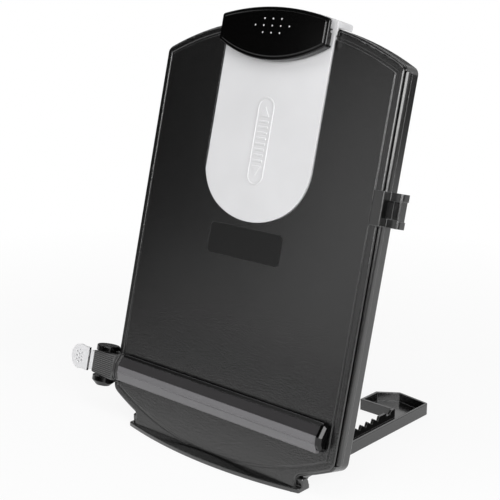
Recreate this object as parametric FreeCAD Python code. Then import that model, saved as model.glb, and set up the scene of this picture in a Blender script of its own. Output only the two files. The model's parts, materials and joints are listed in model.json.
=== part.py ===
import FreeCAD, Part
import math
import os

from FreeCAD import Vector

# A desk copy holder with a line guide, in millimetres.
# World frame: X to the right, Y to the back, Z up. The origin lies on the desk, under the middle of
# the board's front face.
# Board frame: x across the board, y into its thickness from the front face, z up along the face.
# Board pieces are drawn there and leaned back about the X axis.

# Board outline
LEAN = 14.5
BOARD_WIDTH = 240.0
SHOULDER_Z = 321.6
CROWN_RADIUS = 260.0
BOTTOM_RADIUS = 267.0
BOTTOM_Z = -1.2
CORNER_RADIUS = 5.0
FOOT_CORNER_RADIUS = 7.0
REAR_MARGIN = 1.4
REAR_EDGE_ROUND = 1.3
TAB_HALF = 87.5
TAB_FILLET = 6.0
TAB_DROP = 8.0

# Board thickness, from the front face to the back
RIM_SINK = 0.4
LIP_BACK = 2.0
CHANNEL_BACK = 4.6
FRAME_BACK = 10.2
COVER_BACK = 18.7
COVER_WALL = 2.0
FOOT_SOLID = 9.0
RAIL_WIDTH = 8.5
CHANNEL_DEPTH = 6.5
CHANNEL_END_GAP = 2.0
FIELD_INSET = 4.7
GROOVE_WIDTH = 2.1
GROOVE_DEPTH = 1.0
RIM_ROUND = 1.3
RAIL_ROUND = 2.7
COVER_ROUND = 1.8

# Screws that hold the rear cover to the front panel
POST_INSET = 16.0
LOW_POST_Z = 52.0
POST_SPACING = 116.0
TOP_POST_DROP = 25.6
INNER_POST_X = 52.0
INNER_POST_Z = 92.0
POST_RADIUS = 3.5
POST_BACK = 14.2
SCREW_RADIUS = 1.25
SCREW_HOLE_RADIUS = 1.5
SCREW_FRONT = 5.0
HEAD_RADIUS = 2.7
HEAD_THICKNESS = 1.4
HEAD_SINK = 1.7
HEAD_GAP = 0.2

# Height extension
TONGUE_HALF = 54.6
TONGUE_LENGTH = 159.5
TONGUE_ARC_RADIUS = 66.0
TONGUE_CORNER_RADIUS = 44.0
TONGUE_FRONT = -1.2
TONGUE_BACK = 2.7
TONGUE_GAP = 0.9
POCKET_FLOOR_FRONT = 3.0
POCKET_FLOOR_BACK = 4.8
POCKET_WALL = 2.0
EXTENSION_TRAVEL = 80.0
SLOT_X = 30.0
SLOT_HALF_WIDTH = 3.0
KEEPER_Z_ABOVE_END = 24.0
KEEPER_HALF_WIDTH = 7.0
KEEPER_HALF_LENGTH = 12.0
KEEPER_GAP = 0.3
KEEPER_THICKNESS = 2.0
BOSS_HALF_WIDTH = 2.6
BOSS_HALF_LENGTH = 9.0
CAP_HALF = 56.2
CAP_RISE = 8.5
CAP_ARC_RADIUS = 215.0
CAP_BACK = 17.0
CAP_DROP = 10.0
CAP_GAP = 0.5
CAP_WALL = 2.2
PANEL_RAISE = 0.5
OVAL_HALF_WIDTH = 8.3
OVAL_TOP_DROP = 61.0
OVAL_LENGTH = 69.5
OVAL_LINE = 1.3
ARROW_HALF_WIDTH = 4.6
ARROW_HEIGHT = 7.5
ARROW_INSET = 8.0
RIB_COUNT = 8
RIB_PITCH = 4.4
RIB_HEIGHT = 1.6
RIB_HALF_WIDTH = 5.0

# Spring clip on the head of the extension
CLIP_HALF = 54.3
CLIP_FRONT = -10.4
CLIP_JAW_BACK = -2.9
CLIP_WALL = 2.4
CLIP_SIDE_BACK = -4.6
CLIP_TOP_DROP = 0.6
CLIP_LENGTH = 42.0
CLIP_BOTTOM_RADIUS = 113.0
CLIP_CORNER = 2.5
CLIP_EDGE_ROUND = 0.9
CLIP_STEP = 0.9
CLIP_RIM = 2.6
CLIP_PANEL_CORNER = 1.4
CLIP_JAW_HEIGHT = 5.0
CLIP_PIVOT_DROP = 16.5
CLIP_PIVOT_Y = -5.4
CLIP_PIN_RADIUS = 1.2
CLIP_LUG_X = 30.0
CLIP_LUG_THICKNESS = 3.0
CLIP_LUG_RADIUS = 2.6
CLIP_EAR_THICKNESS = 2.5
CLIP_EAR_GAP = 0.4
CLIP_PAD_THICKNESS = 1.4
CLIP_SPRING_RADIUS = 2.0
CLIP_SPRING_LENGTH = 9.0
CLIP_SPRING_GAP = 0.5
CLIP_SPRING_ROOM = 0.9

# Side carriers that run in the board's channels
CARRIER_HEIGHT = 25.5
RIGHT_CARRIER_DROP = 101.4
LEFT_CARRIER_GAP = 3.8641
FLANGE_WIDTH = 6.4
FLANGE_THICKNESS = 1.2
SLIDE_GAP = 0.3
CARRIER_WALL = 1.4
CARRIER_BOX_WIDTH = 11.8
CARRIER_BOX_FRONT = 7.7
CARRIER_BOX_BACK = 16.2
CARRIER_EDGE_ROUND = 2.6
SOCKET_WIDTH = 9.0
SOCKET_HEIGHT = 13.2
SOCKET_DEPTH = 6.2
SOCKET_WALL = 0.9
GRIP_SINK = 0.9
GRIP_HEIGHT = 14.5
BRAKE_THICKNESS = 0.9
BRAKE_HEIGHT = 16.0
BRAKE_WIDTH = 3.4

# Line guide, which hinges on the left carrier
KNUCKLE_RADIUS = 10.0
KNUCKLE_OUT = 11.8
KNUCKLE_Y = -1.6
EAR_HEIGHT = 4.8
LOW_EAR_HEIGHT = 8.0
EAR_ROUND = 1.0
EAR_CHAMFER = 4.0
BLOCK_HEIGHT = 21.6
BLOCK_GAP = 0.35
BLOCK_FRONT = -8.6
BLOCK_BACK = -2.0
BLOCK_OUT = 21.4
BLOCK_IN = 4.8
BLOCK_TAPER = 1.4
BLOCK_RIBS = 12
BLOCK_RIB_DEPTH = 0.5
BARREL_RADIUS = 4.2
GUIDE_PIN_RADIUS = 1.5
PIN_GAP = 0.05
GUIDE_SPRING_RADIUS = 3.0
GUIDE_SPRING_HEIGHT = 5.0
TENON_GAP = 0.1
PADDLE_HEIGHT = 21.5
PADDLE_LENGTH = 22.0
PADDLE_FRONT = -8.9
PADDLE_THICKNESS = 2.2
PADDLE_NECK = 6.2
PADDLE_GROOVE = 2.0
PADDLE_HOLE_RADIUS = 0.95
HOLE_COLUMNS = (3, 4, 3)
HOLE_COLUMN_PITCH = 3.1
HOLE_PITCH = 3.4
COLLAR_RING = 2.5
COLLAR_WAIST = 1.2
COLLAR_ROUND = 0.5
BAR_BACK = -2.4
BAR_BOTTOM = -9.6
BAR_END_GAP = 8.1
END_CAP_LENGTH = 4.4
END_CAP_DROP = 7.0
END_CAP_CHAMFER = 1.9
STRIP_THICKNESS = 0.8

# Paper ledge and foot under the board
LEDGE_HALF = 93.3
LEDGE_FRONT_END = 1.0
LEDGE_FRONT_MIDDLE = -10.0
LEDGE_BACK = 13.4
LEDGE_TIP_ROUND = 1.4
LEDGE_TOP = 4.2
LEDGE_BOTTOM = 0.7
BOARD_CUT_Z = 4.2
CHEEK_HEIGHT = 10.4
CHEEK_FRONT = 5.2
CHEEK_BACK_ROUND = 5.5
CHEEK_FRONT_ROUND = 1.6
CHEEK_GAP = 0.25
LEDGE_SCREW_X = 60.0
LEDGE_SCREW_Y = 7.6
LEDGE_SCREW_RADIUS = 1.4
LEDGE_SCREW_TOP = 12.0
LEDGE_PAD_X = 76.0
LEDGE_PAD_LENGTH = 22.0
LEDGE_PAD_FRONT = 0.4
LEDGE_PAD_BACK = 8.0
MIDDLE_PAD_LENGTH = 40.0
MIDDLE_PAD_FRONT = -4.0
PAD_SINK = 0.5

# Base frame behind the board
BASE_HALF = 81.7
BASE_FRONT = 26.0
BASE_BACK = 191.7
BASE_BOTTOM = 0.7
BASE_TOP = 10.6
BASE_WALL = 2.2
BASE_FLOOR = 2.0
ARM_WIDTH = 16.7
FOOT_INNER_X = 32.0
FOOT_FRONT = 160.0
FOOT_TIP_X = 49.4
FOOT_TIP_Y = 196.2
FOOT_CORNER_Y = 183.5
CROSSBAR_BACK = 46.0
BASE_CORNER = 3.0
TOOTH_PITCH = 8.5
TOOTH_COUNT = 9
TOOTH_DEPTH = 3.5
TOOTH_FLAT = 0.8
TOOTH_RISE = 1.6
FIRST_TOOTH_GAP = 20.5
DIP_FRONT_GAP = 11.5
DIP_BACK_GAP = 2.4
DIP_DEPTH = 3.0
BASE_PAD_RADIUS = 5.0

# Tilt hinge and prop
HINGE_Y = 30.0
HINGE_Z = 13.4
HINGE_PIN_RADIUS = 2.0
PIN_HEAD_MARGIN = 1.2
PIN_HEAD_THICKNESS = 1.2
PIN_HEAD_GAP = 0.1
HINGE_KNUCKLE = 5.0
LUG_X = 50.0
LUG_WIDTH = 6.4
HINGE_SIDE_GAP = 0.4
HINGE_EAR_WIDTH = 6.0
PROP_REACH = 100.0
PROP_HALF = 28.0
PROP_THICKNESS = 4.0
PROP_BARREL = 4.5
PROP_PIN_RADIUS = 2.0
PROP_LUG_WIDTH = 6.0
PROP_LUG_RADIUS = 5.0
BRACKET_MARGIN = 3.0
BRACKET_PLATE = 1.5
PROP_WINDOW_HALF = 16.0
PROP_WINDOW_END = 20.0
ROD_RADIUS = 2.5
ROD_OVERHANG = 4.0

# Blank name plate below the extension
BADGE_WIDTH = 75.0
BADGE_HEIGHT = 24.0
BADGE_GAP_BELOW_TONGUE = 5.5
BADGE_THICKNESS = 0.9
BADGE_PROUD = 0.35
BADGE_CORNER = 3.0
BADGE_GAP = 0.15

BOARD_HALF = BOARD_WIDTH / 2
REAR_HALF = BOARD_HALF + REAR_MARGIN
CROWN_CENTRE = SHOULDER_Z - math.sqrt(CROWN_RADIUS**2 - BOARD_HALF**2)
CROWN_TOP = CROWN_CENTRE + CROWN_RADIUS
BOTTOM_CENTRE = BOTTOM_Z + BOTTOM_RADIUS
TONGUE_END = CROWN_TOP - TONGUE_LENGTH
CAP_TOP = CROWN_TOP + CAP_RISE
CHANNEL_WALL_X = BOARD_HALF - CHANNEL_DEPTH
CHANNEL_LOW = BOTTOM_CENTRE - math.sqrt(BOTTOM_RADIUS**2 - BOARD_HALF**2) + CHANNEL_END_GAP
CHANNEL_HIGH = SHOULDER_Z - CHANNEL_END_GAP
FIELD_HALF = BOARD_HALF - FIELD_INSET
CLIP_PIVOT_Z = CAP_TOP - CLIP_PIVOT_DROP
GUIDE_PIN_X = -(BOARD_HALF + KNUCKLE_OUT)
LEFT_CARRIER_Z = CHANNEL_LOW + LEFT_CARRIER_GAP + CARRIER_HEIGHT / 2
RIGHT_CARRIER_Z = SHOULDER_Z - RIGHT_CARRIER_DROP
TOP_POST_Z = SHOULDER_Z - TOP_POST_DROP
FAR = 600.0


def box(x0, x1, y0, y1, z0, z1):
    return Part.makeBox(x1 - x0, y1 - y0, z1 - z0, Vector(x0, y0, z0))


def rod(radius, start, end):
    along = Vector(*end) - Vector(*start)
    return Part.makeCylinder(radius, along.Length, Vector(*start), along)


def prism(points, direction):
    """A solid swept from a closed outline of points."""
    corners = [Vector(*p) for p in points]
    wire = Part.makePolygon(corners + corners[:1])
    return Part.Face(wire).extrude(Vector(*direction))


def fuse(shapes):
    whole = shapes[0]
    for shape in shapes[1:]:
        whole = whole.fuse(shape)
    return whole.removeSplitter()


def mirror_x(shape):
    return shape.mirror(Vector(0, 0, 0), Vector(1, 0, 0))


def leaned(shape):
    """Turns a shape from the board frame into the world frame."""
    turned = shape.copy()
    turned.rotate(Vector(0, 0, 0), Vector(1, 0, 0), -LEAN)
    return turned


def straight_edges(shape, axis, spots, tolerance=0.2):
    """Straight edges along an axis whose other two coordinates are at one of the spots."""
    across = [i for i in range(3) if i != axis]
    found = []
    for edge in shape.Edges:
        if not isinstance(edge.Curve, Part.Line) or abs(edge.Curve.Direction[axis]) < 0.999:
            continue
        middle = edge.valueAt((edge.FirstParameter + edge.LastParameter) / 2)
        for spot in spots:
            if all(abs(middle[i] - s) < tolerance for i, s in zip(across, spot)):
                found.append(edge)
                break
    return found


def edges_on_plane(shape, axis, value, keep=lambda centre: True, tolerance=0.01):
    """Edges that lie in the plane where one coordinate has a value."""
    found = []
    for edge in shape.Edges:
        span = edge.BoundBox
        low = (span.XMin, span.YMin, span.ZMin)[axis]
        high = (span.XMax, span.YMax, span.ZMax)[axis]
        if abs(low - value) < tolerance and abs(high - value) < tolerance and keep(edge.CenterOfMass):
            found.append(edge)
    return found


def export(name, shape):
    shape.exportStep("parts/%s.step" % name)


# Board outline, shared by the three mouldings
def arch(inset, front, back):
    """The board's outline without its tab, inset and swept from front to back."""
    half = BOARD_HALF - inset
    crown = rod(CROWN_RADIUS - inset, (0, front, CROWN_CENTRE), (0, back, CROWN_CENTRE))
    bottom = rod(BOTTOM_RADIUS - inset, (0, front, BOTTOM_CENTRE), (0, back, BOTTOM_CENTRE))
    middle = box(-half, half, front, back, BOTTOM_Z - 1, CROWN_TOP + 1)
    shape = middle.common(crown).common(bottom)
    top = CROWN_CENTRE + math.sqrt((CROWN_RADIUS - inset) ** 2 - half**2)
    low = BOTTOM_CENTRE - math.sqrt((BOTTOM_RADIUS - inset) ** 2 - half**2)
    shape = shape.makeFillet(max(CORNER_RADIUS - inset, 1.0), straight_edges(shape, 1, [(-half, top), (half, top)]))
    corners = straight_edges(shape, 1, [(-half, low), (half, low)])
    return shape.makeFillet(max(FOOT_CORNER_RADIUS - inset, 1.0), corners)


def blank(inset, front, back):
    """The board's outline, inset, with the tab that stands on the ledge."""
    root = BOTTOM_CENTRE - math.sqrt((BOTTOM_RADIUS - inset) ** 2 - TAB_HALF**2)
    tab = box(-TAB_HALF, TAB_HALF, front, back, -TAB_DROP, root + 1)
    shape = arch(inset, front, back).fuse(tab).removeSplitter()
    corners = straight_edges(shape, 1, [(-TAB_HALF, root), (TAB_HALF, root)])
    return shape.makeFillet(TAB_FILLET, corners)


def above_ledge(shape):
    """Leans a board moulding back and cuts its tab off level, on top of the ledge."""
    return leaned(shape).cut(box(-FAR, FAR, -FAR, FAR, -FAR, BOARD_CUT_Z))


def screw_posts():
    side = BOARD_HALF - POST_INSET
    levels = (LOW_POST_Z, TOP_POST_Z - POST_SPACING, TOP_POST_Z)
    spots = [(x, z) for z in levels for x in (-side, side)]
    return spots + [(-INNER_POST_X, INNER_POST_Z), (INNER_POST_X, INNER_POST_Z)]


def tongue_outline(grow, front, back, top):
    """The extension's outline, which its pocket follows: straight sides, corner arcs and a bottom arc."""
    half = TONGUE_HALF + grow
    reach = TONGUE_CORNER_RADIUS + grow
    apart = TONGUE_ARC_RADIUS - TONGUE_CORNER_RADIUS
    x = TONGUE_HALF - TONGUE_CORNER_RADIUS
    drop = math.sqrt(apart**2 - x**2)
    z = TONGUE_END + TONGUE_ARC_RADIUS - drop
    turn = math.atan2(drop, x)
    right = [(x + reach * math.cos(t), front, z - reach * math.sin(t)) for t in (0, turn / 2, turn)]
    left = [(-px, py, pz) for px, py, pz in reversed(right)]
    low = (0, front, TONGUE_END - grow)
    arcs = [right, (right[-1], low, left[0]), left]
    edges = [Part.Arc(*[Vector(*p) for p in arc]).toShape() for arc in arcs]
    corners = [Vector(*p) for p in (left[-1], (-half, front, top), (half, front, top), right[0])]
    edges += [Part.makeLine(p, q) for p, q in zip(corners, corners[1:])]
    return Part.Face(Part.Wire(edges)).extrude(Vector(0, back - front, 0))


def keeper_spots():
    low = TONGUE_END + KEEPER_Z_ABOVE_END
    return [(x, low) for x in (-SLOT_X, SLOT_X)]


def badge_plate_shape(gap, front, back):
    top = TONGUE_END - BADGE_GAP_BELOW_TONGUE
    half = BADGE_WIDTH / 2 + gap
    low = top - BADGE_HEIGHT - gap
    plate = box(-half, half, front, back, low, top + gap)
    corners = straight_edges(plate, 1, [(x, z) for x in (-half, half) for z in (low, top + gap)])
    return plate.makeFillet(BADGE_CORNER + gap, corners)


def make_front_panel():
    rim = blank(0, RIM_SINK, LIP_BACK)
    rim = rim.makeFillet(RIM_ROUND, edges_on_plane(rim, 1, RIM_SINK))
    ring = arch(FIELD_INSET, -1, GROOVE_DEPTH).cut(arch(FIELD_INSET + GROOVE_WIDTH, -2, GROOVE_DEPTH + 1))
    field = arch(FIELD_INSET + GROOVE_WIDTH, 0, LIP_BACK)
    panel = rim.cut(ring).fuse(field)
    tray = tongue_outline(TONGUE_GAP + POCKET_WALL, LIP_BACK - 0.5, POCKET_FLOOR_BACK, CROWN_TOP)
    crown = rod(CROWN_RADIUS, (0, 0, CROWN_CENTRE), (0, POCKET_FLOOR_BACK, CROWN_CENTRE))
    panel = panel.fuse(tray.common(crown))
    posts = [rod(POST_RADIUS, (x, LIP_BACK - 0.5, z), (x, POST_BACK, z)) for x, z in screw_posts()]
    panel = panel.fuse(posts)
    panel = panel.cut(tongue_outline(TONGUE_GAP, -2, POCKET_FLOOR_FRONT, CROWN_TOP + 10))
    pilots = [rod(SCREW_RADIUS, (x, SCREW_FRONT, z), (x, COVER_BACK, z)) for x, z in screw_posts()]
    panel = panel.cut(pilots)
    slots = []
    for x, z in keeper_spots():
        low = z - BOSS_HALF_LENGTH - SLIDE_GAP
        high = z + BOSS_HALF_LENGTH + EXTENSION_TRAVEL + SLIDE_GAP
        slots.append(box(x - SLOT_HALF_WIDTH, x + SLOT_HALF_WIDTH, 0, POCKET_FLOOR_BACK + 1, low, high))
    panel = panel.cut(slots)
    recess_back = BADGE_THICKNESS - BADGE_PROUD
    panel = panel.cut(badge_plate_shape(BADGE_GAP, -1, recess_back))
    return above_ledge(panel.removeSplitter())


def make_badge_plate():
    return leaned(badge_plate_shape(0, -BADGE_PROUD, BADGE_THICKNESS - BADGE_PROUD))


def frame_ring():
    """The ring between the two shells, from which the rails are parted: it stands out past the front lip."""
    outer = blank(-REAR_MARGIN, LIP_BACK, FRAME_BACK)
    outer = outer.makeFillet(REAR_EDGE_ROUND, edges_on_plane(outer, 1, LIP_BACK))
    ring = outer.cut(arch(RAIL_WIDTH, LIP_BACK - 1, FRAME_BACK + 1))
    tray = tongue_outline(TONGUE_GAP + POCKET_WALL + 0.3, LIP_BACK - 1, POCKET_FLOOR_BACK + 0.3, CROWN_TOP + 5)
    return ring.cut(tray)


def make_right_rail():
    """An L-shaped rail: the front lip closes it to the channel that a carrier runs in."""
    low, high = CHANNEL_LOW, CHANNEL_HIGH
    rail = frame_ring().common(box(0, FAR, 0, FAR, low, high))
    channel = box(CHANNEL_WALL_X, FAR, 0, CHANNEL_BACK, low - 1, high + 1)
    rail = rail.cut(channel).removeSplitter()
    return leaned(rail.makeFillet(RAIL_ROUND, straight_edges(rail, 2, [(REAR_HALF, CHANNEL_BACK)])))


def make_left_rail():
    return mirror_x(make_right_rail())


def make_crown_rail():
    high = CHANNEL_HIGH
    return leaned(frame_ring().common(box(-FAR, FAR, 0, FAR, high, FAR)).removeSplitter())


def make_foot_rail():
    low = CHANNEL_LOW
    rail = frame_ring().common(box(-FAR, FAR, 0, FAR, -FAR, low)).removeSplitter()
    return above_ledge(rail).cut(Part.makeCompound(ledge_screw_pilots()))


def make_rear_cover():
    shell = blank(-REAR_MARGIN, FRAME_BACK, COVER_BACK)
    shell = shell.makeFillet(COVER_ROUND, edges_on_plane(shell, 1, COVER_BACK))
    floor = COVER_BACK - COVER_WALL
    hollow = arch(COVER_WALL - REAR_MARGIN, FRAME_BACK - 1, floor)
    hollow = hollow.common(box(-FAR, FAR, 0, floor, FOOT_SOLID, FAR))
    shell = shell.cut(hollow)
    bosses = [rod(POST_RADIUS + 0.8, (x, POST_BACK, z), (x, floor + 0.5, z)) for x, z in screw_posts()]
    shell = shell.fuse(bosses)
    for x, z in screw_posts():
        shell = shell.cut(rod(SCREW_HOLE_RADIUS, (x, POST_BACK - 1, z), (x, COVER_BACK + 1, z)))
        sink = rod(HEAD_RADIUS + HEAD_GAP, (x, COVER_BACK - HEAD_SINK, z), (x, COVER_BACK + 1, z))
        shell = shell.cut(sink)
    return above_ledge(shell.removeSplitter())


def make_cover_screws():
    screws = []
    for x, z in screw_posts():
        head_front = COVER_BACK - HEAD_SINK
        shaft = rod(SCREW_RADIUS, (x, SCREW_FRONT + 1, z), (x, head_front + 0.5, z))
        head = rod(HEAD_RADIUS, (x, head_front, z), (x, head_front + HEAD_THICKNESS, z))
        cross = box(x - 1.7, x + 1.7, head_front + 0.8, COVER_BACK, z - 0.4, z + 0.4)
        bar = box(x - 0.4, x + 0.4, head_front + 0.8, COVER_BACK, z - 1.7, z + 1.7)
        screws.append(shaft.fuse(head).cut(cross).cut(bar))
    return leaned(Part.makeCompound(screws))


# Tilt hinge, prop and base frame
def board_line():
    """The hinge's depth and height in the board frame: the prop's pivot lies on the same depth."""
    angle = math.radians(LEAN)
    depth = HINGE_Y * math.cos(angle) - HINGE_Z * math.sin(angle)
    height = HINGE_Y * math.sin(angle) + HINGE_Z * math.cos(angle)
    return depth, height


def prop_pivot():
    """The prop's pivot on the board, in the world frame."""
    depth, height = board_line()
    angle = math.radians(LEAN)
    up = height + PROP_REACH
    return (up * math.sin(angle) + depth * math.cos(angle), up * math.cos(angle) - depth * math.sin(angle))


def prop_foot_y():
    """Where the prop's foot meets the rails: board, base and prop make an isosceles triangle."""
    return HINGE_Y + 2 * PROP_REACH * math.sin(math.radians(LEAN))


def bracket(x0, x1, radius, height):
    """A rounded lug on a small foot plate, which is bonded to the back of the board."""
    depth = board_line()[0]
    barrel = rod(radius, (x0, depth, height), (x1, depth, height))
    web = box(x0, x1, COVER_BACK, depth, height - radius, height + radius)
    foot = box(
        x0 - BRACKET_MARGIN,
        x1 + BRACKET_MARGIN,
        COVER_BACK,
        COVER_BACK + BRACKET_PLATE,
        height - 2 * radius,
        height + 2 * radius,
    )
    return leaned(fuse([barrel, web, foot]))


def make_hinge_brackets():
    height = board_line()[1]
    bore = rod(HINGE_PIN_RADIUS + PIN_GAP, (-FAR, HINGE_Y, HINGE_Z), (FAR, HINGE_Y, HINGE_Z))
    right = bracket(LUG_X, LUG_X + LUG_WIDTH, HINGE_KNUCKLE, height).cut(bore)
    return Part.makeCompound([right, mirror_x(right)])


def make_prop_brackets():
    y, z = prop_pivot()
    inner = PROP_HALF + HINGE_SIDE_GAP
    bore = rod(PROP_PIN_RADIUS, (-FAR, y, z), (FAR, y, z))
    height = board_line()[1] + PROP_REACH
    right = bracket(inner, inner + PROP_LUG_WIDTH, PROP_LUG_RADIUS, height).cut(bore)
    return Part.makeCompound([right, mirror_x(right)])


def make_prop():
    y, z = prop_pivot()
    foot = (prop_foot_y(), HINGE_Z)
    along = Vector(0, foot[0] - y, foot[1] - z)
    length = along.Length
    head = rod(PROP_BARREL, (-PROP_HALF, 0, 0), (PROP_HALF, 0, 0))
    tail = rod(PROP_BARREL, (-PROP_HALF, 0, -length), (PROP_HALF, 0, -length))
    plate = box(-PROP_HALF, PROP_HALF, -PROP_THICKNESS / 2, PROP_THICKNESS / 2, -length, 0)
    window = box(
        -PROP_WINDOW_HALF, PROP_WINDOW_HALF, -FAR, FAR, PROP_WINDOW_END - length, -PROP_WINDOW_END
    )
    corners = straight_edges(
        window,
        1,
        [(x, h) for x in (-PROP_WINDOW_HALF, PROP_WINDOW_HALF) for h in (PROP_WINDOW_END - length, -PROP_WINDOW_END)],
    )
    shape = fuse([plate, head, tail]).cut(window.makeFillet(5.0, corners))
    shape = shape.cut(rod(PROP_PIN_RADIUS + PIN_GAP, (-FAR, 0, 0), (FAR, 0, 0)))
    shape = shape.cut(rod(ROD_RADIUS, (-FAR, 0, -length), (FAR, 0, -length)))
    turn = math.degrees(math.atan2(along.y, -along.z))
    shape.rotate(Vector(0, 0, 0), Vector(1, 0, 0), turn)
    shape.translate(Vector(0, y, z))
    return shape


def make_prop_pin():
    y, z = prop_pivot()
    end = PROP_HALF + HINGE_SIDE_GAP + PROP_LUG_WIDTH
    return rod(PROP_PIN_RADIUS, (-end, y, z), (end, y, z))


def make_prop_rod():
    end = BASE_HALF - ARM_WIDTH + ROD_OVERHANG
    y = prop_foot_y()
    shape = rod(ROD_RADIUS, (-end, y, HINGE_Z), (end, y, HINGE_Z))
    return shape.makeChamfer(0.6, edges_on_plane(shape, 0, end) + edges_on_plane(shape, 0, -end))


def base_outline(inset):
    """The plan of the base frame: two arms with feet turned inwards, joined at the front."""
    w = inset
    outer = BASE_HALF - w
    inner = BASE_HALF - ARM_WIDTH + w
    foot = FOOT_INNER_X + w
    chamfer = Vector(FOOT_TIP_X - FOOT_INNER_X, FOOT_TIP_Y - FOOT_CORNER_Y)
    slant = w * (chamfer.Length - chamfer.y) / chamfer.x
    edge = Vector(BASE_HALF - FOOT_TIP_X, BASE_BACK - FOOT_TIP_Y)
    bend = math.atan2(chamfer.y, chamfer.x)
    fall = math.atan2(edge.y, edge.x)
    half_turn = (bend - fall) / 2
    tip_reach = w / math.cos(half_turn)
    tip_angle = (bend + fall) / 2
    tip_x = FOOT_TIP_X + tip_reach * math.sin(tip_angle)
    tip_y = FOOT_TIP_Y - tip_reach * math.cos(tip_angle)
    back = tip_y + (outer - tip_x) * math.tan(fall)
    right = [
        (outer, BASE_FRONT + w),
        (outer, back),
        (tip_x, tip_y),
        (foot, FOOT_CORNER_Y - slant),
        (foot, FOOT_FRONT + w),
        (inner, FOOT_FRONT + w),
        (inner, CROSSBAR_BACK - w),
    ]
    left = [(-x, y) for x, y in reversed(right)]
    return right + left


def base_prism(inset, low, high):
    return prism([(x, y, low) for x, y in base_outline(inset)], (0, 0, high - low))


def tooth_notches(x):
    """Outlines of the notches in the inner walls: a dip beside the foot, then saw-tooth gullets."""
    back = FOOT_FRONT - DIP_BACK_GAP
    front = FOOT_FRONT - DIP_FRONT_GAP
    bend = (back - front) * 0.4
    low = BASE_TOP - DIP_DEPTH
    notches = [[(x, back, BASE_TOP + 0.1), (x, back - bend, low), (x, front + 1.6, low), (x, front, BASE_TOP + 0.1)]]
    for index in range(TOOTH_COUNT):
        tip = FOOT_FRONT - FIRST_TOOTH_GAP - index * TOOTH_PITCH
        notches.append(
            [
                (x, tip, BASE_TOP + 0.1),
                (x, tip - TOOTH_RISE, BASE_TOP - TOOTH_DEPTH),
                (x, tip - TOOTH_RISE - 1.0, BASE_TOP - TOOTH_DEPTH),
                (x, tip - TOOTH_PITCH + TOOTH_FLAT, BASE_TOP + 0.1),
            ]
        )
    return notches


def make_base_frame():
    outer = base_prism(0, BASE_BOTTOM, BASE_TOP)
    outer = outer.makeFillet(
        BASE_CORNER, straight_edges(outer, 2, [(-BASE_HALF, BASE_BACK), (BASE_HALF, BASE_BACK)])
    )
    frame = outer.cut(base_prism(BASE_WALL, BASE_BOTTOM + BASE_FLOOR, BASE_TOP + 1))
    frame = frame.makeFillet(0.5, edges_on_plane(frame, 2, BASE_TOP, lambda c: abs(c.x) > BASE_HALF - 1))
    inner = BASE_HALF - ARM_WIDTH
    for side in (-1, 1):
        near, far = sorted((side * (inner - 1), side * (inner + BASE_WALL + 0.2)))
        frame = frame.cut([prism(notch, (far - near, 0, 0)) for notch in tooth_notches(near)])
    lug_clear = HINGE_KNUCKLE + 0.6
    for side in (-1, 1):
        near, far = sorted((side * (LUG_X - HINGE_SIDE_GAP), side * (LUG_X + LUG_WIDTH + HINGE_SIDE_GAP)))
        frame = frame.cut(box(near, far, BASE_FRONT - 1, HINGE_Y + lug_clear, HINGE_Z - lug_clear, FAR))
    ear_x = LUG_X + LUG_WIDTH + HINGE_SIDE_GAP
    knuckle = rod(HINGE_KNUCKLE, (ear_x, HINGE_Y, HINGE_Z), (ear_x + HINGE_EAR_WIDTH, HINGE_Y, HINGE_Z))
    post = box(
        ear_x, ear_x + HINGE_EAR_WIDTH, BASE_FRONT + 0.5, HINGE_Y + HINGE_KNUCKLE, BASE_BOTTOM + 1, HINGE_Z
    )
    post = post.common(box(-FAR, FAR, HINGE_Y - HINGE_KNUCKLE, FAR, -FAR, FAR))
    ear = knuckle.fuse(post)
    frame = frame.fuse([ear, mirror_x(ear)])
    frame = frame.cut(rod(HINGE_PIN_RADIUS, (-FAR, HINGE_Y, HINGE_Z), (FAR, HINGE_Y, HINGE_Z)))
    head_room = pin_head(PIN_HEAD_GAP)
    frame = frame.cut([head_room, mirror_x(head_room)])
    for x, y in base_pad_spots():
        frame = frame.cut(rod(BASE_PAD_RADIUS, (x, y, -1), (x, y, BASE_BOTTOM + PAD_SINK)))
    return frame.removeSplitter()


def base_pad_spots():
    arm = BASE_HALF - ARM_WIDTH / 2
    spots = [(arm, BASE_FRONT + 12), (arm, BASE_BACK - 12), (FOOT_TIP_X, FOOT_FRONT + 14)]
    return spots + [(-x, y) for x, y in spots]


def make_base_pads():
    pads = [rod(BASE_PAD_RADIUS, (x, y, 0), (x, y, BASE_BOTTOM + PAD_SINK)) for x, y in base_pad_spots()]
    return Part.makeCompound(pads)


def pin_head(grow):
    """The head of the right hinge pin, outside its ear."""
    start = LUG_X + LUG_WIDTH + HINGE_SIDE_GAP + HINGE_EAR_WIDTH
    end = start + PIN_HEAD_THICKNESS + grow
    return rod(HINGE_PIN_RADIUS + PIN_HEAD_MARGIN + grow, (start, HINGE_Y, HINGE_Z), (end, HINGE_Y, HINGE_Z))


def make_hinge_pins():
    start = LUG_X - 1.0
    end = LUG_X + LUG_WIDTH + HINGE_SIDE_GAP + HINGE_EAR_WIDTH
    right = rod(HINGE_PIN_RADIUS, (start, HINGE_Y, HINGE_Z), (end, HINGE_Y, HINGE_Z))
    right = right.fuse(pin_head(0)).removeSplitter()
    return Part.makeCompound([right, mirror_x(right)])


# Paper ledge
def ledge_plan(grow):
    """A lens-shaped plan: a bowed front lip and a straight back."""
    sag = LEDGE_FRONT_END - LEDGE_FRONT_MIDDLE
    radius = (LEDGE_HALF**2 + sag**2) / (2 * sag)
    centre = LEDGE_FRONT_MIDDLE + radius
    low, high = LEDGE_BOTTOM, LEDGE_TOP
    disc = rod(radius + grow, (0, centre, low), (0, centre, high))
    return disc.common(box(-LEDGE_HALF, LEDGE_HALF, -FAR, LEDGE_BACK, low, high))


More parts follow.
